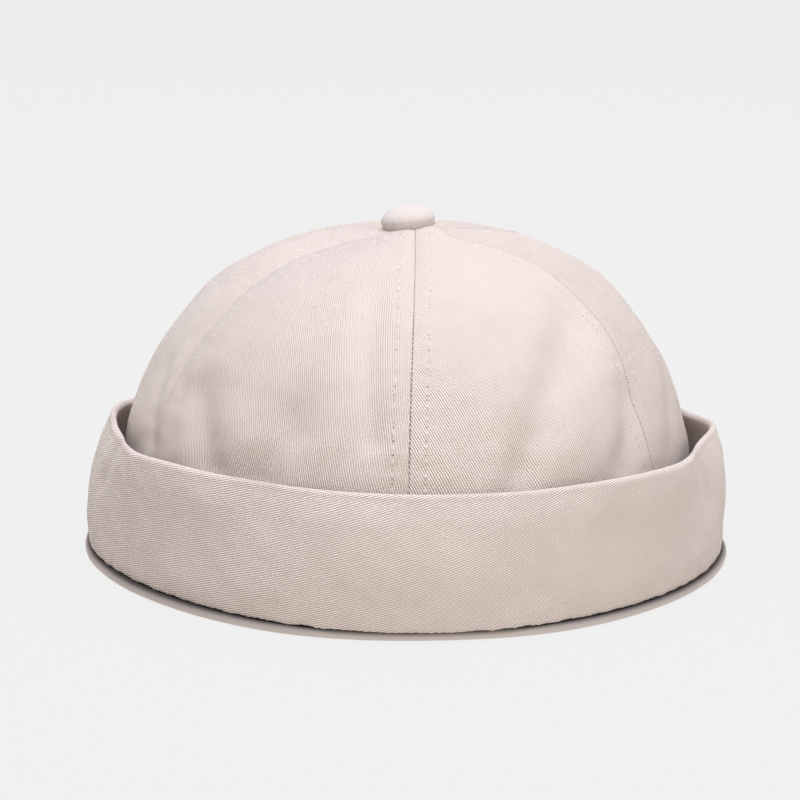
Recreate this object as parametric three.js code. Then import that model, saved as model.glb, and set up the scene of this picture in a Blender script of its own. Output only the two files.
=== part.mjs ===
// Brimless six-panel cap in cotton twill, with a deep turned-up cuff, a covered top button and a
// sweatband whose rolled lower edge shows as a thin strip under the cuff.
// Millimetres, +Z up. The front faces -Y and the wearer's left is +X. The origin is the middle of
// the cap on the surface that it rests on. Angles round the cap start at the front and grow to +X.
import * as THREE from "three";

// Clearances
const SEAM_GAP = 0.3;
const LAYER_GAP = 0.3;
const FOOT_EASE = 1.5;
const SWEATBAND_EASE = 0.8;

// Cloth thicknesses
const CROWN_CLOTH = 1.5;
const CUFF_CLOTH = 3;
const SWEATBAND_CLOTH = 1.2;

// Sweatband and its rolled hem
const HEM_HALF_WIDTH = 96;
const HEM_HALF_LENGTH = 105.6;
const DIAGONAL_NARROWING = 0.022;
const HEM_ROLL = 2.6;
const HEM_PROUD = 1.8;
const HEM_TUCK = 2.8;
const TUCK_AZIMUTH = 4;
const TUCK_SPREAD = 18;
const SWEATBAND_HEIGHT = 30;

// Cuff
const CUFF_HEIGHT = 40.8;
const CUFF_BELLY = 0.7;
const BELLY_POWER = 0.6;
const LEAN_POWER = 2.4;

// Crown
const CROWN_HEIGHT = 95.3;
const BULGE_HEIGHT = 29.4;
const SIDE_TUCK = 5.6;
const FRONT_TUCK = 1.2;
const RISE_POWER = 1.54;
const REACH_POWER = 3.02;
const TOP_SHIFT = 1.5;
const TOP_GATHER = 2.6;
const GATHER_RADIUS = 11;
const BUTTON_HOLE_RADIUS = 4;
const SEAM_VALLEY = 0.5;
const SEAM_VALLEY_WIDTH = 2.6;
const PANEL_PUFF = 0.3;
const FOLD_DEPTH = 1.5;

// Top button
const BUTTON_RADIUS = 8;
const BUTTON_RISE = 5.3;
const BUTTON_RIM = 1.1;
const BUTTON_SHIFT = -2;
const BUTTON_TILT = THREE.MathUtils.degToRad(6);
const BUTTON_SLOPE = Math.tan(BUTTON_TILT);
const SHANK_RADIUS = 1.2;
const SHANK_LENGTH = 2.4;

// Mesh steps
const PANEL_COLUMNS = 14;
const PANEL_ROWS = 14;
const CUFF_STEPS = 96;
const SWEATBAND_STEPS = 72;
const BUTTON_STEPS = 24;
const ROLL_STEPS = 4;
const OUTLINE_SAMPLES = 1600;
const NORMAL_STEP = 1e-3;

// Where a section has its points, as shares of the way up, and as turns of its round stretches
const CUFF_OUTER_LEVELS = [0, 0.1, 0.3, 0.55, 0.8, 1];
const CUFF_INNER_LEVELS = [1, 0.6, 0.25, 0];
const CUFF_FOLD_TURNS = [Math.PI / 4, Math.PI / 2, (3 * Math.PI) / 4];
const SWEATBAND_LEVELS = [0, 0.4, 0.7, 1];
const BUTTON_RIM_TURNS = [Math.PI / 4, Math.PI / 2];
const BUTTON_DOME_TURNS = [0.35, 0.7, 1.05, 1.3];

const CUFF_FOOT = HEM_ROLL + LAYER_GAP;
const CROWN_FOOT = HEM_ROLL + LAYER_GAP;
const FOOT_INSET = HEM_PROUD + CUFF_CLOTH + FOOT_EASE;
const CROWN_HALF_WIDTH = HEM_HALF_WIDTH - FOOT_INSET - SIDE_TUCK;
const CROWN_HALF_LENGTH = HEM_HALF_LENGTH - FOOT_INSET - FRONT_TUCK;

// Where the six seams run, in degrees round the cap: at the cuff and at the shoulder of the dome
const SEAMS = [
  { name: "front", atCuff: 0.4, atShoulder: 0.4 },
  { name: "right front", atCuff: 59, atShoulder: 61 },
  { name: "right back", atCuff: 120, atShoulder: 120 },
  { name: "back", atCuff: 180, atShoulder: 180 },
  { name: "left back", atCuff: 238, atShoulder: 239 },
  { name: "left front", atCuff: 296, atShoulder: 299 },
];

// Panels in order from the front seam, each between a seam and the next
const PANELS = [
  "panel_front_right",
  "panel_side_right",
  "panel_back_right",
  "panel_back_left",
  "panel_side_left",
  "panel_front_left",
];

// The cuff round the cap. foot: how far its lower edge stands inside the hem, as a share of
// HEM_PROUD. hug: its top edge stands straight over the foot at 0, lies against the crown at 1 and
// flares out below 0. height: share of the cuff's height.
const CUFF_ROUND = [
  { azimuth: -180, foot: 0.9, hug: 0.5, height: 0.89 },
  { azimuth: -135, foot: 0.9, hug: 0.62, height: 0.89 },
  { azimuth: -106, foot: 0.9, hug: 0.6, height: 0.93 },
  { azimuth: -98, foot: 0.9, hug: 0.6, height: 0.975 },
  { azimuth: -90, foot: 0.8, hug: 0.58, height: 1 },
  { azimuth: -79, foot: 0.8, hug: 0.55, height: 1 },
  { azimuth: -70, foot: 1.05, hug: 0.4, height: 1 },
  { azimuth: -64, foot: 1.25, hug: 0.1, height: 0.992 },
  { azimuth: -57, foot: 1.3, hug: -0.08, height: 0.985 },
  { azimuth: -46, foot: 1.3, hug: -0.05, height: 1.0 },
  { azimuth: 0, foot: 0.5, hug: 0.4, height: 0.995 },
  { azimuth: 30, foot: 0.9, hug: 0.1, height: 0.985 },
  { azimuth: 55, foot: 0.9, hug: -0.3, height: 0.985 },
  { azimuth: 72, foot: 1.0, hug: 0.3, height: 0.985 },
  { azimuth: 88, foot: 0.9, hug: 0.2, height: 0.965 },
  { azimuth: 104, foot: 0.9, hug: 0.5, height: 0.9 },
  { azimuth: 135, foot: 0.9, hug: 0.62, height: 0.89 },
];

// Soft folds in the crown, each along a line: height as a share of the crown's height, width as a
// share of its half width, depth as a share of FOLD_DEPTH, below 0 for a ridge
const FOLDS = [
  { fromAzimuth: 50, fromHeight: 0.82, toAzimuth: 38, toHeight: 0.73, width: 0.08, depth: 1.6 },
  { fromAzimuth: 32, fromHeight: 0.655, toAzimuth: 24, toHeight: 0.5, width: 0.07, depth: 1.2 },
  { fromAzimuth: 22, fromHeight: 0.43, toAzimuth: 21.5, toHeight: 0.41, width: 0.075, depth: 1.2 },
  { fromAzimuth: 58, fromHeight: 0.76, toAzimuth: 42, toHeight: 0.62, width: 0.08, depth: -0.35 },
  { fromAzimuth: 57, fromHeight: 0.58, toAzimuth: 50, toHeight: 0.42, width: 0.07, depth: 1.1 },
  { fromAzimuth: 79, fromHeight: 0.58, toAzimuth: 69, toHeight: 0.4, width: 0.06, depth: 0.6 },
  { fromAzimuth: -12, fromHeight: 0.9, toAzimuth: -7, toHeight: 0.56, width: 0.045, depth: 1.1 },
  { fromAzimuth: -19, fromHeight: 0.87, toAzimuth: -17, toHeight: 0.55, width: 0.06, depth: -0.4 },
  { fromAzimuth: -26, fromHeight: 0.57, toAzimuth: -30, toHeight: 0.43, width: 0.09, depth: 1.4 },
  { fromAzimuth: -53, fromHeight: 0.6, toAzimuth: -43, toHeight: 0.43, width: 0.08, depth: 1.2 },
  { fromAzimuth: -61, fromHeight: 0.63, toAzimuth: -57, toHeight: 0.45, width: 0.04, depth: 0.25 },
  { fromAzimuth: -72, fromHeight: 0.62, toAzimuth: -65, toHeight: 0.42, width: 0.045, depth: 0.5 },
  { fromAzimuth: 150, fromHeight: 0.7, toAzimuth: 162, toHeight: 0.42, width: 0.08, depth: 0.7 },
  { fromAzimuth: 212, fromHeight: 0.62, toAzimuth: 204, toHeight: 0.42, width: 0.08, depth: 0.8 },
];

const { degToRad, lerp, smoothstep } = THREE.MathUtils;

// A point on a plan outline of given half width and half length: an ellipse, a little narrowed
// across its diagonals
function planPoint(angle, halfWidth, halfLength, height) {
  const share = 1 - DIAGONAL_NARROWING * Math.sin(2 * angle) ** 2;
  return new THREE.Vector3(
    halfWidth * share * Math.sin(angle),
    -halfLength * share * Math.cos(angle),
    height,
  );
}

// A point round the cap, moved in from the hem's outline by inset
function ringPoint(angle, inset, height) {
  return planPoint(angle, HEM_HALF_WIDTH - inset, HEM_HALF_LENGTH - inset, height);
}

// The value of a column of a table round the cap, on a smooth curve through its rows
function aroundCap(rows, column, angle) {
  const count = rows.length;
  const start = rows[0].azimuth;
  const degrees = THREE.MathUtils.euclideanModulo(THREE.MathUtils.radToDeg(angle) - start, 360) + start;
  const rowAt = (i) => {
    const turns = Math.floor(i / count);
    const row = rows[i - turns * count];
    return { azimuth: row.azimuth + turns * 360, value: row[column] };
  };
  const slopeAt = (i) => {
    const before = rowAt(i - 1);
    const after = rowAt(i + 1);
    return (after.value - before.value) / (after.azimuth - before.azimuth);
  };
  let i = count - 1;
  while (i > 0 && rows[i].azimuth > degrees) i -= 1;
  const from = rowAt(i);
  const to = rowAt(i + 1);
  const span = to.azimuth - from.azimuth;
  const t = (degrees - from.azimuth) / span;
  return (
    from.value * (2 * t ** 3 - 3 * t ** 2 + 1) +
    slopeAt(i) * span * (t ** 3 - 2 * t ** 2 + t) +
    to.value * (3 * t ** 2 - 2 * t ** 3) +
    slopeAt(i + 1) * span * (t ** 3 - t ** 2)
  );
}

// The crown's half width and half length where it stands at a height
function crownHalves(height) {
  const tuck = smoothstep(height, CROWN_FOOT, BULGE_HEIGHT);
  const rise = THREE.MathUtils.clamp((height - BULGE_HEIGHT) / (CROWN_HEIGHT - BULGE_HEIGHT), 0, 1);
  const reach = (1 - rise ** RISE_POWER) ** (1 / REACH_POWER);
  return {
    width: (CROWN_HALF_WIDTH + SIDE_TUCK * (1 - tuck)) * reach,
    length: (CROWN_HALF_LENGTH + FRONT_TUCK * (1 - tuck)) * reach,
  };
}

// How far inside the hem's outline the crown stands at an angle and height
function crownInset(angle, height) {
  const halves = crownHalves(height);
  return (
    (HEM_HALF_WIDTH - halves.width) * Math.sin(angle) ** 2 +
    (HEM_HALF_LENGTH - halves.length) * Math.cos(angle) ** 2
  );
}

// The crown's half outline: climb 0 at its lower edge, 1 at the button hole. Its wall up to the
// bulge takes the first stretch of the climb, and the dome above it the rest.
class CrownOutline extends THREE.Curve {
  constructor() {
    super();
    this.arcLengthDivisions = OUTLINE_SAMPLES;
    this.holeReach = BUTTON_HOLE_RADIUS / CROWN_HALF_WIDTH;
    this.lastTurn = Math.acos(this.holeReach ** (REACH_POWER / 2));
    this.wallShare = (BULGE_HEIGHT - CROWN_FOOT) / (2 * CROWN_HEIGHT);
  }

  // Height, half width and half length of the smooth crown
  level(climb) {
    if (climb < this.wallShare) {
      const height = lerp(CROWN_FOOT, BULGE_HEIGHT, climb / this.wallShare);
      return { height, ...crownHalves(height) };
    }
    const turn = (this.lastTurn * (climb - this.wallShare)) / (1 - this.wallShare);
    const rise = Math.sin(turn) ** (2 / RISE_POWER);
    const reach = Math.cos(turn) ** (2 / REACH_POWER);
    return {
      height: lerp(BULGE_HEIGHT, CROWN_HEIGHT, rise),
      width: CROWN_HALF_WIDTH * reach,
      length: CROWN_HALF_LENGTH * reach,
    };
  }

  getPoint(climb, target = new THREE.Vector3()) {
    const { height, width, length } = this.level(climb);
    return target.set((width + length) / 2, 0, height);
  }
}

const outline = new CrownOutline();

// The crown before its seams and folds, drawn up to the button at its top
function smoothCrown(angle, climb) {
  const { height, width, length } = outline.level(climb);
  const rise = THREE.MathUtils.clamp((height - BULGE_HEIGHT) / (CROWN_HEIGHT - BULGE_HEIGHT), 0, 1);
  const point = planPoint(angle, width, length, height);
  point.z += (TOP_GATHER + BUTTON_SLOPE * point.x) * Math.exp(-((width / GATHER_RADIUS) ** 4));
  point.x += TOP_SHIFT * rise ** 2;
  return point;
}

// The way out of the crown's cloth at a point
function crownNormal(angle, climb) {
  const low = Math.max(climb - NORMAL_STEP, 0);
  const high = Math.min(climb + NORMAL_STEP, 1);
  const across = smoothCrown(angle + NORMAL_STEP, climb).sub(smoothCrown(angle - NORMAL_STEP, climb));
  const up = smoothCrown(angle, high).sub(smoothCrown(angle, low));
  return across.cross(up).normalize();
}

// A seam's angle at a height
function seamAngle(seam, height) {
  return degToRad(lerp(seam.atCuff, seam.atShoulder, smoothstep(height, CUFF_HEIGHT, CROWN_HEIGHT)));
}

// The depth of all folds at a point of the crown
function foldDepth(angle, height, radius) {
  let depth = 0;
  for (const fold of FOLDS) {
    const middle = (fold.fromAzimuth + fold.toAzimuth) / 2;
    const turned = THREE.MathUtils.euclideanModulo(THREE.MathUtils.radToDeg(angle) - middle + 180, 360) - 180;
    const here = new THREE.Vector2(degToRad(turned) * radius, height);
    const from = new THREE.Vector2(
      degToRad(fold.fromAzimuth - middle) * radius,
      fold.fromHeight * CROWN_HEIGHT,
    );
    const to = new THREE.Vector2(
      degToRad(fold.toAzimuth - middle) * radius,
      fold.toHeight * CROWN_HEIGHT,
    );
    const line = to.clone().sub(from);
    const along = THREE.MathUtils.clamp(here.clone().sub(from).dot(line) / line.lengthSq(), 0, 1);
    const distance = here.distanceTo(from.addScaledVector(line, along));
    depth += fold.depth * FOLD_DEPTH * Math.exp(-((distance / (fold.width * CROWN_HALF_WIDTH)) ** 2));
  }
  return depth;
}

// One crown panel between two seams, as rows of outer and inner points from the foot to the hole
function panelGeometry(seam, nextSeam) {
  const outer = [];
  const inner = [];
  for (let row = 0; row <= PANEL_ROWS; row += 1) {
    const climb = outline.getUtoTmapping(row / PANEL_ROWS);
    const { height, width, length } = outline.level(climb);
    const radius = (width + length) / 2;
    const margin = SEAM_GAP / 2 / Math.min(width, length);
    const start = seamAngle(seam, height) + margin;
    const end = seamAngle(nextSeam, height) - margin;
    const shaped = smoothstep(height, SWEATBAND_HEIGHT, CUFF_HEIGHT);
    outer.push([]);
    inner.push([]);
    for (let column = 0; column <= PANEL_COLUMNS; column += 1) {
      const across = (1 - Math.cos((Math.PI * column) / PANEL_COLUMNS)) / 2;
      const angle = lerp(start, end, across);
      const seamDistance = Math.min(angle - start, end - angle) * radius;
      const valley = SEAM_VALLEY * Math.exp(-((seamDistance / SEAM_VALLEY_WIDTH) ** 2));
      const puff = PANEL_PUFF * (1 - Math.sin(Math.PI * across)) * (radius / CROWN_HALF_LENGTH);
      const sink = (valley + puff + foldDepth(angle, height, radius)) * shaped;
      const normal = crownNormal(angle, climb);
      const point = smoothCrown(angle, climb);
      outer[row].push(point.clone().addScaledVector(normal, -sink));
      inner[row].push(point.clone().addScaledVector(normal, -sink - CROWN_CLOTH));
    }
  }
  return shellGeometry(outer, inner);
}

// A closed solid from an outer and an inner grid of points, joined along all four edges
function shellGeometry(outer, inner) {
  const rows = outer.length;
  const columns = outer[0].length;
  const points = [...outer.flat(), ...inner.flat()];
  const innerStart = rows * columns;
  const at = (row, column) => row * columns + column;
  const faces = [];
  const quad = (a, b, c, d) => faces.push(a, b, c, a, c, d);
  for (let row = 0; row < rows - 1; row += 1) {
    for (let column = 0; column < columns - 1; column += 1) {
      const corners = [at(row, column), at(row, column + 1), at(row + 1, column + 1), at(row + 1, column)];
      quad(...corners);
      quad(...corners.reverse().map((corner) => corner + innerStart));
    }
    const first = [at(row, 0), at(row + 1, 0)];
    const last = [at(row, columns - 1), at(row + 1, columns - 1)];
    quad(first[1], first[1] + innerStart, first[0] + innerStart, first[0]);
    quad(last[0], last[0] + innerStart, last[1] + innerStart, last[1]);
  }
  for (let column = 0; column < columns - 1; column += 1) {
    const low = [at(0, column), at(0, column + 1)];
    const high = [at(rows - 1, column), at(rows - 1, column + 1)];
    quad(low[0], low[0] + innerStart, low[1] + innerStart, low[1]);
    quad(high[1], high[1] + innerStart, high[0] + innerStart, high[0]);
  }
  return meshGeometry(points, faces);
}

// A closed ring from its section at each step round the cap
function ringGeometry(steps, sectionAt) {
  const points = [];
  const faces = [];
  for (let step = 0; step < steps; step += 1) {
    points.push(...sectionAt((step * 2 * Math.PI) / steps));
  }
  const sides = points.length / steps;
  for (let step = 0; step < steps; step += 1) {
    const next = (step + 1) % steps;
    for (let side = 0; side < sides; side += 1) {
      const turn = (side + 1) % sides;
      const near = [step * sides + side, step * sides + turn];
      const far = [next * sides + side, next * sides + turn];
      faces.push(near[0], far[0], far[1], near[0], far[1], near[1]);
    }
  }
  return meshGeometry(points, faces);
}

function meshGeometry(points, faces) {
  const geometry = new THREE.BufferGeometry().setFromPoints(points);
  geometry.setIndex(faces);
  geometry.computeVertexNormals();
  return geometry;
}

// The cuff's section: up its outer face, over the soft fold at its top and down its inner face
function cuffSection(angle) {
  const top = CUFF_HEIGHT * aroundCap(CUFF_ROUND, "height", angle);
  const foldRadius = CUFF_CLOTH / 2;
  const wallTop = top - foldRadius;
  const foot = HEM_PROUD * aroundCap(CUFF_ROUND, "foot", angle);
  const room = crownInset(angle, top) - foot - CUFF_CLOTH - LAYER_GAP;
  const lean = room * aroundCap(CUFF_ROUND, "hug", angle);
  const belly = (share) => CUFF_BELLY * Math.sin(Math.PI * share ** BELLY_POWER);
  const faceInset = (share) => foot + lean * share ** LEAN_POWER - belly(share);
  const faceHeight = (share) => lerp(CUFF_FOOT, wallTop, share);
  const section = [];
  for (const share of CUFF_OUTER_LEVELS) {
    section.push(ringPoint(angle, faceInset(share), faceHeight(share)));
  }
  for (const turn of CUFF_FOLD_TURNS) {
    const inset = faceInset(1) + foldRadius * (1 - Math.cos(turn));
    section.push(ringPoint(angle, inset, wallTop + foldRadius * Math.sin(turn)));
  }
  for (const share of CUFF_INNER_LEVELS) {
    section.push(ringPoint(angle, faceInset(share) + CUFF_CLOTH, faceHeight(share)));
  }
  return section;
}

// How far the hem is tucked in under the front of the cuff
function hemTuck(angle) {
  const turned = THREE.MathUtils.euclideanModulo(THREE.MathUtils.radToDeg(angle) + 180, 360) - 180;
  return HEM_TUCK * Math.exp(-(((turned - TUCK_AZIMUTH) / TUCK_SPREAD) ** 2));
}

// The sweatband's section: the flat underside of the hem, its roll, and the band inside the crown
function sweatbandSection(angle) {
  const rollRadius = HEM_ROLL / 2;
  const outside = (height) => crownInset(angle, height) + CROWN_CLOTH + SWEATBAND_EASE;
  const section = [ringPoint(angle, outside(0) + SWEATBAND_CLOTH, 0)];
  for (let step = 0; step <= ROLL_STEPS; step += 1) {
    const turn = (Math.PI * step) / ROLL_STEPS;
    const inset = rollRadius * (1 - Math.sin(turn)) + hemTuck(angle);
    section.push(ringPoint(angle, inset, rollRadius * (1 - Math.cos(turn))));
  }
  for (const share of SWEATBAND_LEVELS) {
    const height = lerp(HEM_ROLL, SWEATBAND_HEIGHT, share);
    section.push(ringPoint(angle, outside(height), height));
  }
  for (const share of [...SWEATBAND_LEVELS].reverse()) {
    const height = lerp(HEM_ROLL, SWEATBAND_HEIGHT, share);
    section.push(ringPoint(angle, outside(height) + SWEATBAND_CLOTH, height));
  }
  return section;
}

// The covered button, turned round its own axis: a shank, a rounded rim and a low dome
function buttonGeometry() {
  const domeRadius = BUTTON_RADIUS - BUTTON_RIM;
  const profile = [
    new THREE.Vector2(0, -SHANK_LENGTH),
    new THREE.Vector2(SHANK_RADIUS, -SHANK_LENGTH),
    new THREE.Vector2(SHANK_RADIUS, 0),
    new THREE.Vector2(domeRadius, 0),
  ];
  for (const turn of BUTTON_RIM_TURNS) {
    const reach = domeRadius + BUTTON_RIM * Math.sin(turn);
    profile.push(new THREE.Vector2(reach, BUTTON_RIM * (1 - Math.cos(turn))));
  }
  for (const turn of BUTTON_DOME_TURNS) {
    const rise = BUTTON_RIM + (BUTTON_RISE - BUTTON_RIM) * Math.sin(turn);
    profile.push(new THREE.Vector2(BUTTON_RADIUS * Math.cos(turn), rise));
  }
  profile.push(new THREE.Vector2(0, BUTTON_RISE));
  return new THREE.LatheGeometry(profile, BUTTON_STEPS).rotateX(Math.PI / 2);
}

function cloth(color, roughness) {
  return new THREE.MeshStandardMaterial({ color, roughness, metalness: 0 });
}

function piece(name, geometry, material) {
  const mesh = new THREE.Mesh(geometry, material);
  mesh.name = name;
  return mesh;
}

const crownTwill = cloth(0xe2d5ce, 0.88);
const cuffTwill = cloth(0xd6c8bf, 0.88);
const sweatbandTwill = cloth(0xc3b4a9, 0.9);
const buttonTwill = cloth(0xe6dad3, 0.85);

const cap = new THREE.Group();

const crown = new THREE.Group();
PANELS.forEach((name, index) => {
  const nextSeam = SEAMS[(index + 1) % SEAMS.length];
  const turn = index + 1 === SEAMS.length ? 360 : 0;
  const far = { atCuff: nextSeam.atCuff + turn, atShoulder: nextSeam.atShoulder + turn };
  crown.add(piece(name, panelGeometry(SEAMS[index], far), crownTwill));
});
cap.add(crown);

const button = piece("top_button", buttonGeometry(), buttonTwill);
const buttonLift = TOP_GATHER + BUTTON_SLOPE * BUTTON_SHIFT + LAYER_GAP;
button.position.set(TOP_SHIFT + BUTTON_SHIFT, 0, CROWN_HEIGHT + buttonLift);
button.rotation.y = -BUTTON_TILT;
cap.add(button);

cap.add(piece("cuff", ringGeometry(CUFF_STEPS, cuffSection), cuffTwill));
cap.add(piece("sweatband", ringGeometry(SWEATBAND_STEPS, sweatbandSection), sweatbandTwill));

export default cap;
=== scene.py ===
"""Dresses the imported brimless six-panel cap: twill crown, turned-up cuff, covered button, sweatband.

Lengths are millimetres in the form classes and metres in Blender. Angles round the cap start at the
front, which faces -Y, and grow towards +X.
"""

from __future__ import annotations

import logging
import math
from dataclasses import dataclass
from enum import Enum
from typing import Callable

import bpy
import numpy as np
from mathutils import Matrix, Vector

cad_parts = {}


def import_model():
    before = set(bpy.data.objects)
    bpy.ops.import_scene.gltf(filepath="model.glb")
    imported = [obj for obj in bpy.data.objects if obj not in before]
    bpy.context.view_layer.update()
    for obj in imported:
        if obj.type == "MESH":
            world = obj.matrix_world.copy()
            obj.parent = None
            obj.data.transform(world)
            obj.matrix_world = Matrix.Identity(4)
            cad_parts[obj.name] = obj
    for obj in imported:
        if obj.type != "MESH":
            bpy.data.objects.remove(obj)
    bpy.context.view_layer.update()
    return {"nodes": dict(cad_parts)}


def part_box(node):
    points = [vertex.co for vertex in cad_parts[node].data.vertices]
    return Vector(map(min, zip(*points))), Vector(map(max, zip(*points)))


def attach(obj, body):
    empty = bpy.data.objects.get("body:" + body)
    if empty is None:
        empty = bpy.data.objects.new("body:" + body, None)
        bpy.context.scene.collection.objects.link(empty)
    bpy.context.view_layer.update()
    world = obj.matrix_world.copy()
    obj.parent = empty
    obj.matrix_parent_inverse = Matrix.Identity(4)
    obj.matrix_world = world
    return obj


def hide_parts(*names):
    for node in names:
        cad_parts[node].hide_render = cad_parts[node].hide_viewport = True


LOG = logging.getLogger("cap")
Array = np.ndarray
Piece = bpy.types.Object
Socket = bpy.types.NodeSocket
Material = bpy.types.Material
Triple = tuple[float, float, float]
MM = 0.001
BODY = "root"
WEAVE_MAP = "weave"
SEAM_MAP = "seam"
WEAVE_SHADE_MAP = "weave_shade"
OUTLINE_SAMPLES = 1200
WAY_UP = np.linspace(0.0, 1.0, OUTLINE_SAMPLES)
PACKED_HOLE_RADIUS = 4.0

# Each step of a seam's faintness makes it plainer by this share: a shallower valley and roll, a narrower gap
# and less painted shade
PLAIN_STEP = 0.25

# In the seam map, each step of a seam's faintness adds this to the run along it
SEAM_SHIFT = 400.0


class Slot(Enum):
    """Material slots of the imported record."""

    CROWN = "crown_twill"
    BUTTON = "button_twill"
    CUFF = "cuff_twill"
    SWEATBAND = "sweatband_twill"


# Arithmetic on whole arrays


def smoothstep(value: Array, low: float, high: float) -> Array:
    """Eases from 0 at low to 1 at high."""
    share = np.clip((value - low) / (high - low), 0.0, 1.0)
    return share * share * (3.0 - 2.0 * share)


def bump_at(distance: Array, width: float) -> Array:
    """A soft bell, 1 where distance is 0 and gone past about twice the width."""
    return np.exp(-((distance / width) ** 2))


def run_along(points: Array) -> Array:
    """The way along a row of points, from the first to each."""
    return np.concatenate([[0.0], np.cumsum(np.linalg.norm(np.diff(points, axis=0), axis=1))])


def turned(along: Array, beside: Array, degrees: float) -> tuple[Array, Array]:
    """Places on the cloth, read along and across lines that lean."""
    lean = math.radians(degrees)
    return along * math.cos(lean) + beside * math.sin(lean), beside * math.cos(lean) - along * math.sin(lean)


def around(azimuths: list[float], values: list[float], angle: Array) -> Array:
    """A smooth closed curve through values that are given at azimuths.

    Args:
        azimuths: rising degrees round the cap, within one turn.
        values: one value for each azimuth.
        angle: radians where the curve is read.

    Returns:
        The curve's value at each angle.
    """
    at = np.array(azimuths + [azimuths[0] + 360.0])
    value = np.array(values + [values[0]])
    count = len(values)
    before = np.concatenate([[at[count - 1] - 360.0], at[: count - 1]])
    slope = (value[1:] - value[np.arange(count) - 1]) / (at[1:] - before)
    slope = np.append(slope, slope[0])
    degrees = (np.degrees(angle) - at[0]) % 360.0 + at[0]
    i = np.clip(np.searchsorted(at, degrees, side="right") - 1, 0, count - 1)
    span = at[i + 1] - at[i]
    t = (degrees - at[i]) / span
    return (
        value[i] * (2 * t**3 - 3 * t**2 + 1)
        + slope[i] * span * (t**3 - 2 * t**2 + t)
        + value[i + 1] * (3 * t**2 - 2 * t**3)
        + slope[i + 1] * span * (t**3 - t**2)
    )


@dataclass(frozen=True)
class Ripples:
    """Soft seeded waves that keep cloth from looking machined."""

    seed: int
    height: float
    longest: float
    shortest: float
    count: int = 14

    def __call__(self, along: Array, up: Array) -> Array:
        """The waves' height at places on the cloth.

        Args:
            along: millimetres along the cloth.
            up: millimetres up the cloth.

        Returns:
            Height in millimetres, about within plus and minus the class's height.
        """
        draws = np.random.default_rng(self.seed)
        total = np.zeros(np.broadcast(along, up).shape)
        for _ in range(self.count):
            length = draws.uniform(self.shortest, self.longest)
            way = draws.uniform(0.0, math.pi)
            phase = draws.uniform(0.0, 2.0 * math.pi)
            run = (along * math.cos(way) + up * math.sin(way)) / length
            total += np.sin(2.0 * math.pi * run + phase)
        return total * self.height / math.sqrt(self.count)


# The cap's form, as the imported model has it


@dataclass(frozen=True)
class Seam:
    """A crown seam's azimuth in degrees at the cuff and at the shoulder, and its faintness to 4."""

    at_cuff: float
    at_shoulder: float
    faint: int = 2

    def halfway(self, other: Seam) -> Seam:
        """The line midway to another seam."""
        return Seam((self.at_cuff + other.at_cuff) / 2.0, (self.at_shoulder + other.at_shoulder) / 2.0)


@dataclass(frozen=True)
class Fold:
    """A soft fold along a line: heights and width as shares, depth below 0 for a ridge."""

    from_azimuth: float
    from_height: float
    to_azimuth: float
    to_height: float
    width: float
    depth: float

    def press(self, angle: Array, height: Array, radius: Array, tall: float, wide: float) -> Array:
        """The fold's depth at places on the cloth.

        Args:
            angle: radians round the cap.
            height: millimetres up the cloth.
            radius: millimetres round the cloth for each radian.
            tall: what the fold's heights are shares of.
            wide: what its width is a share of.

        Returns:
            Depth into the cloth in millimetres.
        """
        along = np.radians((np.degrees(angle) - self.from_azimuth + 180.0) % 360.0 - 180.0) * radius
        up = height - self.from_height * tall
        line = math.radians(self.to_azimuth - self.from_azimuth) * radius
        climb = (self.to_height - self.from_height) * tall
        share = np.clip((along * line + up * climb) / (line**2 + climb**2), 0.0, 1.0)
        return self.depth * bump_at(np.hypot(along - share * line, up - share * climb), self.width * wide)


@dataclass(frozen=True)
class CuffStation:
    """The cuff at an azimuth: its foot's inset, how it hugs the crown, its height, as shares."""

    azimuth: float
    foot: float
    hug: float
    height: float


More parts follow.
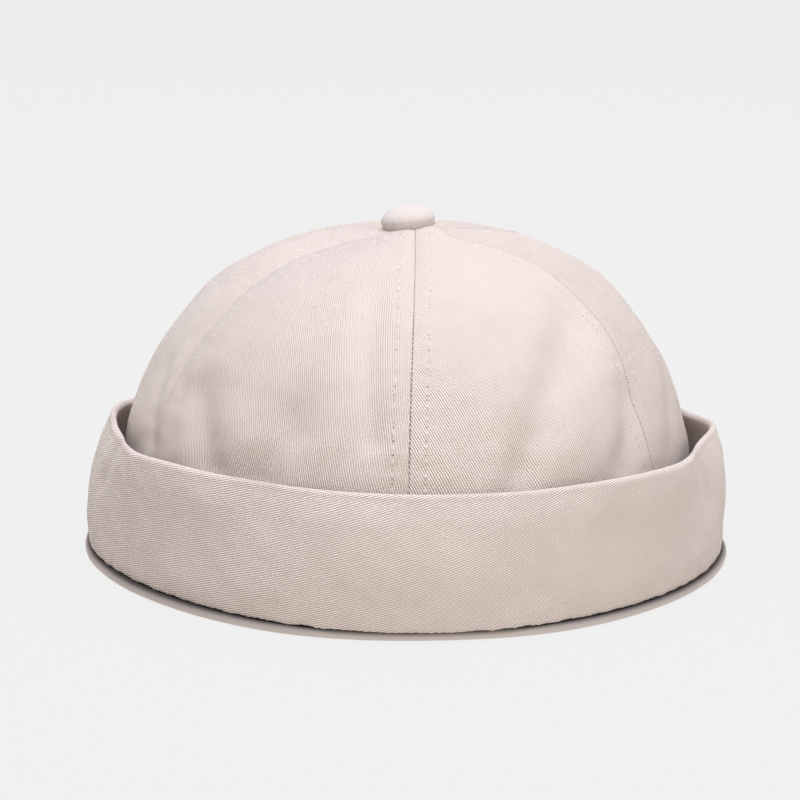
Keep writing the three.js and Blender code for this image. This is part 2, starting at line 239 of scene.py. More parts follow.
@dataclass
class CapForm:
    """The outline that crown, cuff and sweatband share, in millimetres."""

    half_width: float
    half_length: float
    crown_height: float
    narrowing: float = 0.022
    hem_roll: float = 2.6
    hem_proud: float = 1.8
    hem_tuck: float = 2.8
    tuck_azimuth: float = 4.0
    tuck_spread: float = 18.0
    layer_gap: float = 0.3
    foot_ease: float = 1.5
    cuff_cloth: float = 3.0
    crown_cloth: float = 1.5
    cuff_height: float = 40.8
    sweatband_height: float = 30.0
    bulge_height: float = 29.4
    side_tuck: float = 5.6
    front_tuck: float = 1.2
    rise_power: float = 1.54
    reach_power: float = 3.02
    top_shift: float = 1.5
    top_gather: float = 2.6
    gather_radius: float = 11.0
    top_tilt: float = 6.0
    hole_radius: float = 3.0

    def __post_init__(self) -> None:
        """Works out the crown's own half sizes and the foot that layers stand on."""
        inset = self.hem_proud + self.cuff_cloth + self.foot_ease
        self.foot = self.hem_roll + self.layer_gap
        self.crown_half_width = self.half_width - inset - self.side_tuck
        self.crown_half_length = self.half_length - inset - self.front_tuck

    @classmethod
    def from_frame(cls, nodes: list[str]) -> "CapForm":
        """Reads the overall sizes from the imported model.

        Args:
            nodes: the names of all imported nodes.

        Returns:
            The cap's form.
        """
        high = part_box("sweatband")[1]
        crown_top = max(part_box(node)[1].z for node in nodes if node.startswith("panel"))
        form = cls(high.x / MM, high.y / MM, crown_top / MM)
        form.crown_height -= float(form.gather(PACKED_HOLE_RADIUS, PACKED_HOLE_RADIUS))
        return form

    def gather(self, beside: Array, radius: Array) -> Array:
        """How far the cloth is drawn up at the button, beside and round the crown's own middle."""
        slope = math.tan(math.radians(self.top_tilt))
        return (self.top_gather + slope * beside) * bump_at((radius / self.gather_radius) ** 2, 1.0)

    def plan(self, angle: Array, width: Array, length: Array, height: Array) -> Array:
        """Points on a plan outline of given half width and half length.

        Args:
            angle: radians round the cap.
            width: half width.
            length: half length.
            height: height of the points.

        Returns:
            Points in millimetres, with the last axis holding x, y and z.
        """
        share = 1.0 - self.narrowing * np.sin(2.0 * angle) ** 2
        x = width * share * np.sin(angle)
        y = -length * share * np.cos(angle)
        return np.stack(np.broadcast_arrays(x, y, height), axis=-1)

    def ring(self, angle: Array, inset: Array, height: Array) -> Array:
        """Points moved in from the hem's outline by inset."""
        return self.plan(angle, self.half_width - inset, self.half_length - inset, height)

    def half_sizes(self, height: Array, reach: Array) -> tuple[Array, Array]:
        """The crown's half width and half length at a height, drawn in to a share of their reach."""
        loose = 1.0 - smoothstep(height, self.foot, self.bulge_height)
        width = self.crown_half_width + self.side_tuck * loose
        return width * reach, (self.crown_half_length + self.front_tuck * loose) * reach

    def rise(self, height: Array) -> Array:
        """Share of the way up from the crown's widest level to its top."""
        return np.clip((height - self.bulge_height) / (self.crown_height - self.bulge_height), 0.0, 1.0)

    def crown_inset(self, angle: Array, height: Array) -> Array:
        """How far inside the hem's outline the crown stands at an angle and height."""
        reach = (1.0 - self.rise(height) ** self.rise_power) ** (1.0 / self.reach_power)
        width, length = self.half_sizes(height, reach)
        side = (self.half_width - width) * np.sin(angle) ** 2
        return side + (self.half_length - length) * np.cos(angle) ** 2

    def level(self, climb: Array) -> tuple[Array, Array, Array]:
        """The smooth crown at a climb from 0 at its foot to 1 at the button.

        Args:
            climb: share of the way up.

        Returns:
            Height, half width and half length.
        """
        wall = (self.bulge_height - self.foot) / (2.0 * self.crown_height)
        last = math.acos((self.hole_radius / self.crown_half_width) ** (self.reach_power / 2.0))
        low = self.foot + (self.bulge_height - self.foot) * np.clip(climb / wall, 0.0, 1.0)
        turn = last * np.clip((climb - wall) / (1.0 - wall), 0.0, 1.0)
        rise = np.sin(turn) ** (2.0 / self.rise_power)
        high = self.bulge_height + (self.crown_height - self.bulge_height) * rise
        height = np.where(climb < wall, low, high)
        return height, *self.half_sizes(height, np.cos(turn) ** (2.0 / self.reach_power))

    def climb_at(self, share: Array) -> Array:
        """The climb at a share of the way up as measured along the cloth."""
        height, width, length = self.level(WAY_UP)
        run = run_along(np.stack([(width + length) / 2.0, height], axis=1))
        return np.interp(share * run[-1], run, WAY_UP)

    def around_hem(self, angle: Array) -> Array:
        """Millimetres round the hem from the back to an angle between minus and plus pi."""
        turns = np.linspace(-math.pi, math.pi, OUTLINE_SAMPLES)
        return np.interp(angle, turns, run_along(self.ring(turns, 0.0, 0.0)))

    def hem_tuck_at(self, angle: Array) -> Array:
        """How far the hem strip is tucked in under the front of the cuff."""
        return self.hem_tuck * bump_at(np.degrees(angle) - self.tuck_azimuth, self.tuck_spread)

    def seam_angle(self, seam: Seam, climb: Array) -> Array:
        """A seam's angle in radians at a climb."""
        rise = smoothstep(self.level(climb)[0], self.cuff_height, self.crown_height)
        return np.radians(seam.at_cuff + (seam.at_shoulder - seam.at_cuff) * rise)

    def seam_run(self, seam: Seam, climb: Array) -> Array:
        """Millimetres along a seam from the crown's foot to a climb."""
        points = self.crown(self.seam_angle(seam, WAY_UP), WAY_UP)
        return np.interp(climb, WAY_UP, run_along(points))

    def crown(self, angle: Array, climb: Array) -> Array:
        """Points of the crown before its seams and folds."""
        height, width, length = self.level(climb)
        points = self.plan(angle, width, length, height)
        points[..., 2] += self.gather(points[..., 0], width)
        points[..., 0] += self.top_shift * self.rise(height) ** 2
        return points

    def crown_frame(self, angle: Array, climb: Array) -> tuple[Array, Array]:
        """The way out of the crown, and millimetres along it for each radian round it.

        Args:
            angle: radians round the cap.
            climb: share of the way up.

        Returns:
            Unit normals, and the length of a radian at each point.
        """
        step = 1e-3
        above, below = np.minimum(climb + step, 1.0), np.maximum(climb - step, 0.0)
        across = self.crown(angle + step, climb) - self.crown(angle - step, climb)
        normal = np.cross(across, self.crown(angle, above) - self.crown(angle, below))
        normal /= np.linalg.norm(normal, axis=-1, keepdims=True)
        return normal, np.linalg.norm(across, axis=-1) / (2.0 * step)


# Mesh helpers that work as a modeller would by hand


def deselect() -> None:
    """Leaves nothing selected, so that an operator acts on one piece alone."""
    bpy.ops.object.select_all(action="DESELECT")


def only(piece: Piece) -> None:
    """Makes a piece the one selected, active object."""
    deselect()
    piece.select_set(True)
    bpy.context.view_layer.objects.active = piece


def fresh(name: str) -> Piece:
    """Names the primitive that was just added."""
    piece = bpy.context.active_object
    piece.name = name
    piece.data.name = name
    return piece


def points_of(piece: Piece) -> Array:
    """A piece's vertices as an array, in metres."""
    flat = np.empty(len(piece.data.vertices) * 3)
    piece.data.vertices.foreach_get("co", flat)
    return flat.reshape(-1, 3)


def shape(piece: Piece, points: Array) -> None:
    """Moves a piece's vertices to points that are given in millimetres."""
    piece.data.vertices.foreach_set("co", (points * MM).ravel())
    piece.data.update()


def write_map(piece: Piece, name: str, first: Array, second: Array) -> None:
    """Stores a UV map from two numbers for each vertex."""
    corners = np.empty(len(piece.data.loops), dtype=np.int64)
    piece.data.loops.foreach_get("vertex_index", corners)
    pairs = np.stack([first, second], axis=-1)[corners]
    layer = piece.data.uv_layers.get(name) or piece.data.uv_layers.new(name=name)
    layer.uv.foreach_set("vector", pairs.astype(np.float32).ravel())


def smooth(piece: Piece, angle: float = 180.0) -> None:
    """Shades a piece smooth, with sharp edges past an angle in degrees."""
    only(piece)
    if angle >= 180.0:
        bpy.ops.object.shade_smooth()
        return
    bpy.ops.object.shade_smooth_by_angle(angle=math.radians(angle))


def grid(name: str, columns: int, rows: int) -> Piece:
    """Adds a flat grid to shape into cloth."""
    deselect()
    bpy.ops.mesh.primitive_grid_add(x_subdivisions=columns, y_subdivisions=rows, size=1.0)
    return fresh(name)


def grid_shares(piece: Piece, columns: int, rows: int) -> tuple[Array, Array, Array]:
    """Each vertex's share across and up its grid, from 0 to 1, and its height over it."""
    places = points_of(piece)
    across = np.round((places[:, 0] + 0.5) * columns) / columns
    return across, np.round((places[:, 1] + 0.5) * rows) / rows, places[:, 2]


def place(piece: Piece, slot: Slot, material: Material, *nodes: str) -> None:
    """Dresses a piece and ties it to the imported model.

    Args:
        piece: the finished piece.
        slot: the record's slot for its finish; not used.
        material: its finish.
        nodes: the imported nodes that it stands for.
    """
    piece.data.materials.clear()
    piece.data.materials.append(material)
    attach(piece, BODY)
    if nodes:
        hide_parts(*nodes)
    LOG.info("%s: %d faces", piece.name, len(piece.data.polygons))


# Finishes


class Nodes:
    """Lays out a material's nodes; each method gives back the socket that it makes."""

    def __init__(self, name: str) -> None:
        """Starts an empty material with a shader.

        Args:
            name: the material's name.
        """
        self.material = bpy.data.materials.new(name)
        self.material.use_nodes = True
        self.tree = self.material.node_tree
        self.shader = next(node for node in self.tree.nodes if node.type == "BSDF_PRINCIPLED")

    def feed(self, node: bpy.types.Node, values: dict[int | str, object]) -> None:
        """Links sockets into a node's inputs, or sets them to plain values."""
        for name, value in values.items():
            if isinstance(value, Socket):
                self.tree.links.new(value, node.inputs[name])
            else:
                node.inputs[name].default_value = value

    def add(self, kind: str, values: dict[int | str, object], **settings: object) -> bpy.types.Node:
        """Adds a node of a kind with its settings and inputs."""
        node = self.tree.nodes.new(kind)
        for name, value in settings.items():
            setattr(node, name, value)
        self.feed(node, values)
        return node

    def math(self, operation: str, first: object, second: object = 0.0) -> Socket:
        """One step of arithmetic on numbers."""
        return self.add("ShaderNodeMath", {0: first, 1: second}, operation=operation).outputs[0]

    def product(self, first: object, *factors: object) -> Socket:
        """The product of two or more numbers."""
        for factor in factors:
            first = self.math("MULTIPLY", first, factor)
        return first

    def vector(self, operation: str, first: object, second: object) -> Socket:
        """One step of arithmetic on vectors."""
        return self.add("ShaderNodeVectorMath", {0: first, 1: second}, operation=operation).outputs[0]

    def split(self, vector: Socket) -> list[Socket]:
        """The first two numbers of a vector."""
        return self.add("ShaderNodeSeparateXYZ", {0: vector}).outputs[:2]

    def noise(self, place: object, size: Triple, detail: float = 2.0) -> bpy.types.Node:
        """Noise whose grains have a size in millimetres along each axis."""
        values = {"Vector": self.vector("DIVIDE", place, size), "Scale": 1.0, "Detail": detail}
        return self.add("ShaderNodeTexNoise", values, noise_dimensions="3D")

    def fade(self, value: object, low: float, high: float, start: float, end: float) -> Socket:
        """Eases from start to end while value goes from low to high."""
        values = {"Value": value, "From Min": low, "From Max": high, "To Min": start, "To Max": end}
        return self.add("ShaderNodeMapRange", values, interpolation_type="SMOOTHSTEP").outputs[0]

    def wave(self, turns: object) -> Socket:
        """A cosine from 0 to 1 that is 1 at each whole turn."""
        cosine = self.math("COSINE", self.math("MULTIPLY", turns, 2.0 * math.pi))
        return self.math("MULTIPLY", self.math("ADD", cosine, 1.0), 0.5)

    def places(self, name: str) -> Socket:
        """The piece's own UV map of a name, in millimetres of cloth."""
        return self.add("ShaderNodeUVMap", {}, uv_map=name).outputs[0]

    def finish(self, colour: Triple, light: Socket, height: Socket, relief: float, gloss: dict) -> Material:
        """Feeds the shader.

        Args:
            colour: the yarn's colour.
            light: how light the weave and the painted shade make it, about 1.
            height: the weave's height, about from 0 to 1.
            relief: millimetres for a height of 1.
            gloss: the shader's plain values by name.

        Returns:
            The finished material.
        """
        shaded = self.add("ShaderNodeVectorMath", {0: colour, "Scale": light}, operation="SCALE")
        bump = self.add("ShaderNodeBump", {"Height": height, "Distance": relief * MM})
        self.feed(self.shader, {"Base Color": shaded.outputs[0], "Normal": bump.outputs[0], **gloss})
        return self.material


@dataclass(frozen=True)
class NeedleRows:
    """Painted shade in the needle holes and along the seam's join, drawn from each point's distance to the
    nearest seam.
    """

    offset: float
    pitch: float
    hole_heart: float = 0.12
    hole_edge: float = 0.39
    hole_shade: float = 0.7
    faint_hole: float = 0.3
    hole_shade_noise_size: Triple = (30.0, 3.0, 1.0)
    hole_shade_noise_low: float = 0.25
    join_heart: float = 0.08
    join_edge: float = 0.4
    join_shade: float = 0.5
    join_pitch: float = 1.7
    join_low: float = 0.3
    top_from: float = 70.0
    top_to: float = 115.0
    top_join: float = 0.35

    def shade(self, nodes: Nodes) -> Socket:
        """How dark the painted shade in the holes and the join makes the cloth, from 0 to 1."""
        places = nodes.places(SEAM_MAP)
        distance, packed = nodes.split(places)
        run = nodes.math("MODULO", packed, SEAM_SHIFT)
        faint = nodes.math("FLOOR", nodes.math("DIVIDE", packed, SEAM_SHIFT))
        plain = nodes.math("SUBTRACT", 1.0, nodes.math("MULTIPLY", faint, PLAIN_STEP))
        beside = nodes.math("SUBTRACT", distance, self.offset)
        turn = nodes.math("FRACT", nodes.math("ADD", nodes.math("DIVIDE", run, self.pitch), 0.5))
        along = nodes.math("MULTIPLY", nodes.math("SUBTRACT", turn, 0.5), self.pitch)
        square = nodes.math("ADD", nodes.product(beside, beside), nodes.product(along, along))
        spot = nodes.fade(nodes.math("SQRT", square), self.hole_heart, self.hole_edge, self.hole_shade, 0.0)
        # Noise that leaves some holes' painted shade lighter than others
        hole_noise = nodes.noise(places, self.hole_shade_noise_size, 1.0).outputs["Fac"]
        patchy_holes = nodes.fade(hole_noise, 0.35, 0.6, self.hole_shade_noise_low, 1.0)
        hole = nodes.product(spot, patchy_holes, nodes.fade(plain, 0.5, 1.0, self.faint_hole, 1.0))
        dots = nodes.wave(nodes.math("DIVIDE", run, self.join_pitch))
        line = nodes.fade(distance, self.join_heart, self.join_edge, self.join_shade, 0.0)
        high = nodes.fade(run, self.top_from, self.top_to, 1.0, self.top_join)
        join = nodes.product(line, high, plain, nodes.fade(dots, 0.1, 0.9, self.join_low, 1.0))
        return nodes.math("MAXIMUM", hole, join)


@dataclass(frozen=True)
class Twill:
    """Cotton twill: diagonal wales of small floats, drawn along the piece's weave map."""

    name: str
    colour: Triple
    pitch: float = 0.62
    float_length: float = 0.515
    wale_step: float = 0.48
    float_end: float = 0.62
    drift: float = 1.2
    drift_size: float = 30.0
    waver: float = 0.12
    waver_size: float = 2.5
    fuzz_size: float = 0.35
    fuzz_height: float = 0.3
    yarn_size: Triple = (9.0, 0.7, 1.0)
    cloud_size: float = 14.0
    relief: float = 0.3
    contrast: float = 0.62
    mean_body: float = 0.46
    mottling: float = 0.03
    streaks: float = 0.012
    clouding: float = 0.015
    roughness: float = 0.9
    sheen: float = 0.2
    gloss: float = 0.2
    needle_rows: NeedleRows | None = None
    # Painted shade towards a crease: how far it reaches, and how light the cloth is at the crease
    painted_crease_shade_reach: float = 0.0
    painted_crease_shade_light: float = 0.12

    def build(self) -> Material:
        """Makes the material with its weave, yarn streaks, mottling, and painted shade in its needle holes,
        seam joins and creases.
        """
        nodes = Nodes(self.name)
        place = moved = nodes.places(WEAVE_MAP)
        for size, reach in ((self.drift_size, self.drift), (self.waver_size, self.waver)):
            grain = nodes.noise(place, (size, size, size)).outputs["Color"]
            pull = nodes.vector("SUBTRACT", grain, (0.5, 0.5, 0.5))
            moved = nodes.vector("ADD", moved, nodes.vector("MULTIPLY", pull, (reach, reach, 0.0)))
        along, beside = nodes.split(moved)
        wale = nodes.math("DIVIDE", beside, self.pitch)
        step = nodes.product(nodes.math("FLOOR", nodes.math("ADD", wale, 0.5)), self.wale_step)
        bead = nodes.wave(nodes.math("ADD", nodes.math("DIVIDE", along, self.float_length), step))
        body = nodes.product(nodes.wave(wale), nodes.fade(bead, 0.0, 1.0, self.float_end, 1.0))
        fuzz = nodes.noise(place, (self.fuzz_size,) * 3, 3.0).outputs["Fac"]
        yarn = nodes.noise(place, self.yarn_size).outputs["Fac"]
        cloud = nodes.noise(place, (self.cloud_size,) * 3, 3.0).outputs["Fac"]
        # The wales' colour contrast: partly the yarn's own, partly painted shade between the wales; on the
        # crown it is scaled by the weave shade map
        shade = self.contrast * self.mean_body
        weave = nodes.fade(body, 0.1, 0.75, -shade, self.contrast - shade)
        if self.needle_rows:
            weave = nodes.product(weave, nodes.split(nodes.places(WEAVE_SHADE_MAP))[0])
        light = nodes.math("ADD", weave, 1.0)
        for grain, swing in ((fuzz, self.mottling), (yarn, self.streaks), (cloud, self.clouding)):
            light = nodes.product(light, nodes.fade(grain, 0.3, 0.7, 1.0 - swing, 1.0 + swing))
        # Painted shade in the needle holes and along the seam's join
        if self.needle_rows:
            light = nodes.product(light, nodes.math("SUBTRACT", 1.0, self.needle_rows.shade(nodes)))
        # Painted shade on the hem strip, darkest at the crease under the cuff, read from the seam map's
        # distance to it
        if self.painted_crease_shade_reach:
            away = nodes.split(nodes.places(SEAM_MAP))[0]
            light = nodes.product(light, nodes.fade(away, 0.0, self.painted_crease_shade_reach, self.painted_crease_shade_light, 1.0))
        height = nodes.math("ADD", body, nodes.product(fuzz, self.fuzz_height))
        gloss = {"Roughness": self.roughness, "Sheen Weight": self.sheen, "Specular IOR Level": self.gloss}
        return nodes.finish(self.colour, light, height, self.relief, gloss)


@dataclass(frozen=True)
class Thread:
    """Sewing thread with a fine twist."""

    name: str
    colour: Triple
    twist: float = 0.5
    groove_light: float = 0.82
    relief: float = 0.05
    roughness: float = 0.75
    sheen: float = 0.15

    def build(self) -> Material:
        """Makes the material, its twist drawn across each stitch's own map."""
        nodes = Nodes(self.name)
        turns = nodes.math("DIVIDE", nodes.math("ADD", *nodes.split(nodes.places(WEAVE_MAP))), self.twist)
        ply = nodes.wave(turns)
        # Darker in the grooves of the twist: painted shade
        light = nodes.fade(ply, 0.0, 1.0, self.groove_light, 1.0)
        gloss = {"Roughness": self.roughness, "Sheen Weight": self.sheen}
        return nodes.finish(self.colour, light, ply, self.relief, gloss)


# The crown

SEAMS = (
    Seam(0.4, 0.4, 0),
    Seam(59.0, 61.0, 1),
    Seam(120.0, 120.0),
    Seam(180.0, 180.0),
    Seam(238.0, 239.0),
    Seam(296.0, 299.0, 3),
    Seam(360.4, 360.4, 0),
)

FOLDS = (
    Fold(50, 0.82, 38, 0.73, 0.08, 1.6),
    Fold(32, 0.655, 24, 0.5, 0.07, 1.2),
    Fold(22, 0.43, 21.5, 0.41, 0.075, 1.2),
    Fold(58, 0.76, 42, 0.62, 0.08, -0.35),
    Fold(57, 0.58, 50, 0.42, 0.07, 1.1),
    Fold(79, 0.58, 69, 0.4, 0.06, 0.6),
    Fold(-12, 0.9, -7, 0.56, 0.045, 1.1),
    Fold(-19, 0.87, -17, 0.55, 0.06, -0.4),
    Fold(-26, 0.57, -30, 0.43, 0.09, 1.4),
    Fold(-53, 0.6, -43, 0.43, 0.08, 1.2),
    Fold(-61, 0.63, -57, 0.45, 0.04, 0.25),
    Fold(-72, 0.62, -65, 0.42, 0.045, 0.5),
    Fold(150, 0.7, 162, 0.42, 0.08, 0.7),
    Fold(212, 0.62, 204, 0.42, 0.08, 0.8),
)


@dataclass(frozen=True)
class Panel:
    """A crown panel: its node, its place from the front seam, how much painted weave shade it has and how
    wide its wales are.
    """

    node: str
    index: int
    weave_shade: float = 0.8
    stretch: float = 1.0


# Painted weave shade per panel: least on the front left, whose wales run upright under the top light, most
# on the front right
PANELS = (
    Panel("panel_front_right", 0, 1.0, 1.12),
    Panel("panel_side_right", 1),
    Panel("panel_back_right", 2),
    Panel("panel_back_left", 3),
    Panel("panel_side_left", 4),
    Panel("panel_front_left", 5, 0.5),
)


@dataclass
class Lay:
    """Where points of a panel lie: on the crown, and in the flat cloth."""

    points: Array
    normal: Array
    distance: Array
    run: Array
    faint: Array
    weave: tuple[Array, Array]


@dataclass
class Crown:
    """Six twill panels, sewn edge to edge and top-stitched either side of each seam."""

    form: CapForm
    cloth: Twill
    thread: Thread
    columns: int = 72
    rows: int = 132
    seam_valley: float = 0.5
    valley_width: float = 2.6
    panel_puff: float = 0.3
    fold_depth: float = 1.75
    seam_gap: float = 0.08
    roll_radius: float = 0.45
    roll_share: float = 0.12
    roll_ease: float = 0.85
    ease_from: float = 0.6
    lit_top_fade: float = 0.7
    lit_top_fade_from: float = 0.62
    wale_lean: float = 112.0
    stitch_offset: float = 4.5
    stitch_pitch: float = 3.95
    stitch_length: float = 3.3
    stitch_width: float = 0.42
    stitch_height: float = 0.42
    stitch_bluntness: float = 0.7
    stitch_dip: float = 0.32
    stitch_from: float = 2.0
    stitch_room: float = 2.4
    groove_depth: float = 0.3
    groove_width: float = 0.7
    groove_swell: float = 0.3
    allowance_rise: float = 0.28
    allowance_edge: float = 1.6
    pucker_reach: float = 6.0
    wave_reach: float = 14.0
    crumple_from: float = 2.0
    crumple_reach: float = 12.0
    seam_stride: float = 97.0
    panel_stride: float = 211.0
    weave_stride: float = 40.0
    puckers: Ripples = Ripples(11, 0.16, 13.0, 5.5, 10)
    waves: Ripples = Ripples(7, 0.32, 60.0, 24.0, 12)
    crumple: Ripples = Ripples(23, 0.07, 16.0, 7.0, 16)

    def edges(self, panel: Panel, climb: Array) -> tuple[Array, Array]:
        """The angles of a panel's two seams at a climb."""
        first, second = SEAMS[panel.index : panel.index + 2]
        return self.form.seam_angle(first, climb), self.form.seam_angle(second, climb)

    def lay(self, panel: Panel, across: Array, climb: Array, layer: Array) -> Lay:
        """Places points of a panel on the crown.

        Args:
            panel: the panel.
            across: share of the way from its first seam to its second.
            climb: share of the way up.
            layer: 1 on the outer face, 0 on the inner.

        Returns:
            The points with their normals, distance to the nearest seam, run along it and weave place.
        """
        form = self.form
        height, width, length = form.level(climb)
        radius = (width + length) / 2.0
        first, second = SEAMS[panel.index : panel.index + 2]
        start, end = self.edges(panel, climb)
        angle = start + (end - start) * across
        normal, per_radian = form.crown_frame(angle, climb)
        from_start, to_end = (angle - start) * per_radian, (end - angle) * per_radian
        nearer = from_start <= to_end
        distance = np.minimum(from_start, to_end)
        run = np.where(nearer, form.seam_run(first, climb), form.seam_run(second, climb))
        seam_place = np.where(nearer, panel.index, (panel.index + 1) % len(PANELS)) * self.seam_stride
        faint = np.where(nearer, first.faint, second.faint)
        plain = 1.0 - PLAIN_STEP * faint
        aside = (from_start - to_end) / 2.0
        up = form.seam_run(first.halfway(second), climb)
        shaped = smoothstep(height, form.sweatband_height, form.cuff_height)
        off_stitch = distance - self.stitch_offset
        spot = aside + panel.index * self.panel_stride
        sink = self.seam_valley * plain * bump_at(distance, self.valley_width)
        sink += self.panel_puff * (1.0 - np.sin(math.pi * across)) * radius / form.crown_half_length
        for fold in FOLDS:
            fallen = fold.press(angle, height, radius, form.crown_height, form.crown_half_width)
            sink += self.fold_depth * fallen
        sink -= self.waves(spot, up) * smoothstep(distance, 0.0, self.wave_reach)
        sink -= self.crumple(spot, up) * smoothstep(distance, self.crumple_from, self.crumple_reach)
        sink -= self.puckers(run, seam_place) * bump_at(off_stitch, self.pucker_reach)
        swell = 1.0 + self.groove_swell * (np.cos(2.0 * math.pi * run / self.stitch_pitch) - 1.0)
        outer = self.groove_depth * swell * bump_at(off_stitch, self.groove_width)
        outer -= self.allowance_rise * (1.0 - smoothstep(off_stitch, 0.0, self.allowance_edge))
        outer *= plain
        roll = np.minimum(self.roll_radius * plain, (end - start) * per_radian * self.roll_share)
        inside = np.clip(roll - distance, 0.0, roll)
        ease = self.roll_ease * smoothstep(height, self.ease_from * form.crown_height, form.crown_height)
        outer += (roll - np.sqrt(np.maximum(roll**2 - inside**2, 0.0))) * (1.0 - ease)
        depth = sink * shaped + np.where(layer > 0.5, outer * shaped, form.crown_cloth)
        gap = self.seam_gap * plain / 2.0 / per_radian
        angle = np.clip(angle, start + gap, end - gap)
        points = form.crown(angle, climb) - normal * depth[..., None]
        along, beside = turned(aside, up, self.wale_lean)
        weave = along / panel.stretch, (beside + panel.index * self.weave_stride) / panel.stretch
        return Lay(points, normal, distance, run, faint, weave)

    def panel(self, panel: Panel, material: Material) -> None:
        """Builds one panel as a thin closed shell whose side edges roll into the seams."""
        piece = grid(f"twill_{panel.node}", self.columns, self.rows)
        only(piece)
        bpy.ops.object.mode_set(mode="EDIT")
        bpy.ops.mesh.select_all(action="SELECT")
        bpy.ops.mesh.extrude_region_move(TRANSFORM_OT_translate={"value": (0.0, 0.0, -1.0)})
        bpy.ops.object.mode_set(mode="OBJECT")
        across, up, layer = grid_shares(piece, self.columns, self.rows)
        climb = self.form.climb_at(up)
        lay = self.lay(panel, (1.0 - np.cos(math.pi * across)) / 2.0, climb, layer + 1.0)
        shape(piece, lay.points)
        write_map(piece, WEAVE_MAP, *lay.weave)
        # Painted weave shade fades towards the top, which faces the light
        height = self.form.level(climb)[0] / self.form.crown_height
        weave_shade = panel.weave_shade * (1.0 - self.lit_top_fade * smoothstep(height, self.lit_top_fade_from, 1.0))
        write_map(piece, WEAVE_SHADE_MAP, weave_shade, weave_shade)
        write_map(piece, SEAM_MAP, lay.distance, lay.run + SEAM_SHIFT * lay.faint)
        smooth(piece, 60.0)
        place(piece, Slot.CROWN, material, panel.node)

    def stitches(self, material: Material) -> None:
        """Sews a row of thread either side of each seam, as one mesh."""
        grain, faces = self.grain()
        points = []
        for panel in PANELS:
            for first_side in (True, False):
                points += [grain @ turn.T + centre for centre, turn in self.stitch_places(panel, first_side)]
        count = len(points)
        all_faces = [tuple(np.add(face, i * len(grain))) for i in range(count) for face in faces]
        mesh = bpy.data.meshes.new("crown_topstitching")
        mesh.from_pydata((np.concatenate(points) * MM).tolist(), [], all_faces)
        piece = bpy.data.objects.new("crown_topstitching", mesh)
        bpy.context.scene.collection.objects.link(piece)
        write_map(piece, WEAVE_MAP, np.tile(grain[:, 0], count), np.tile(grain[:, 1], count))
        smooth(piece)
        place(piece, Slot.CROWN, material)

    def grain(self) -> tuple[Array, list[tuple[int, ...]]]:
        """Models one stitch, its ends dipping into the cloth.

        Returns:
            Its points in millimetres, along x with z out of the cloth, and its faces.
        """
        deselect()
        lying = (0.0, math.pi / 2.0, 0.0)
        bpy.ops.mesh.primitive_uv_sphere_add(segments=8, ring_count=7, radius=1.0, rotation=lying)
        bpy.ops.object.transform_apply(location=False, rotation=True, scale=False)
        model = fresh("stitch_model")
        points = points_of(model)
        along = points[:, 0]
        points[:, 0] = np.sign(along) * np.abs(along) ** self.stitch_bluntness * self.stitch_length / 2.0
        points[:, 1] *= self.stitch_width / 2.0
        points[:, 2] *= self.stitch_width * self.stitch_height
        points[:, 2] -= self.stitch_dip * points[:, 0] ** 4
        faces = [tuple(face.vertices) for face in model.data.polygons]
        bpy.data.objects.remove(model, do_unlink=True)
        return points, faces

    def stitch_places(self, panel: Panel, first_side: bool) -> list[tuple[Array, Array]]:
        """Where the stitches of a panel's row lie.

        Args:
            panel: the panel that the row runs on.
            first_side: True beside its first seam, False beside its second.

        Returns:
            Each stitch's centre and its axes as columns: along, across and out of the cloth.
        """
        form = self.form
        seam = SEAMS[panel.index] if first_side else SEAMS[panel.index + 1]
        runs = form.seam_run(seam, WAY_UP)
        low = float(np.interp(form.sweatband_height + self.stitch_from, form.level(WAY_UP)[0], runs))
        start, end = self.edges(panel, WAY_UP)
        width = (end - start) * form.crown_frame((start + end) / 2.0, WAY_UP)[1]
        high = float(runs[np.argmax(width < self.stitch_room * self.stitch_offset)])
        found = []
        for number in range(math.ceil(low / self.stitch_pitch), math.floor(high / self.stitch_pitch)):
            spots = (np.array([0.1, 0.5, 0.9]) + number) * self.stitch_pitch
            climb = np.interp(spots, runs, WAY_UP)
            start, end = self.edges(panel, climb)
            per_radian = form.crown_frame(start if first_side else end, climb)[1]
            share = self.stitch_offset / per_radian / (end - start)
            lay = self.lay(panel, share if first_side else 1.0 - share, climb, np.ones(3))
            along = lay.points[2] - lay.points[0]
            along /= np.linalg.norm(along)
            out = lay.normal[1] - along * np.dot(along, lay.normal[1])
            out /= np.linalg.norm(out)
            centre = lay.points[1] + out * self.stitch_width * (0.08 - 0.05 * lay.faint[1])
            found.append((centre, np.stack([along, np.cross(out, along), out], axis=1)))
        return found

    def build(self) -> None:
        """Makes the six panels and their top-stitching."""
        cloth = self.cloth.build()
        for panel in PANELS:
            self.panel(panel, cloth)
        self.stitches(self.thread.build())


# The cuff

CUFF_ROUND = (
    CuffStation(-180, 0.9, 0.5, 0.89),
    CuffStation(-135, 0.9, 0.62, 0.89),
    CuffStation(-106, 0.9, 0.6, 0.93),
    CuffStation(-98, 0.9, 0.6, 0.975),
    CuffStation(-90, 0.8, 0.58, 1),
    CuffStation(-79, 0.8, 0.55, 1),
    CuffStation(-70, 1.05, 0.4, 1),
    CuffStation(-64, 1.25, 0.1, 0.992),
    CuffStation(-57, 1.3, -0.08, 0.985),
    CuffStation(-46, 1.3, -0.05, 1.0),
    CuffStation(0, 0.5, 0.4, 0.995),
    CuffStation(30, 0.9, 0.1, 0.985),
    CuffStation(55, 0.9, -0.3, 0.985),
    CuffStation(72, 1.0, 0.3, 0.985),
    CuffStation(88, 0.9, 0.2, 0.965),
    CuffStation(104, 0.9, 0.5, 0.9),
    CuffStation(135, 0.9, 0.62, 0.89),
)


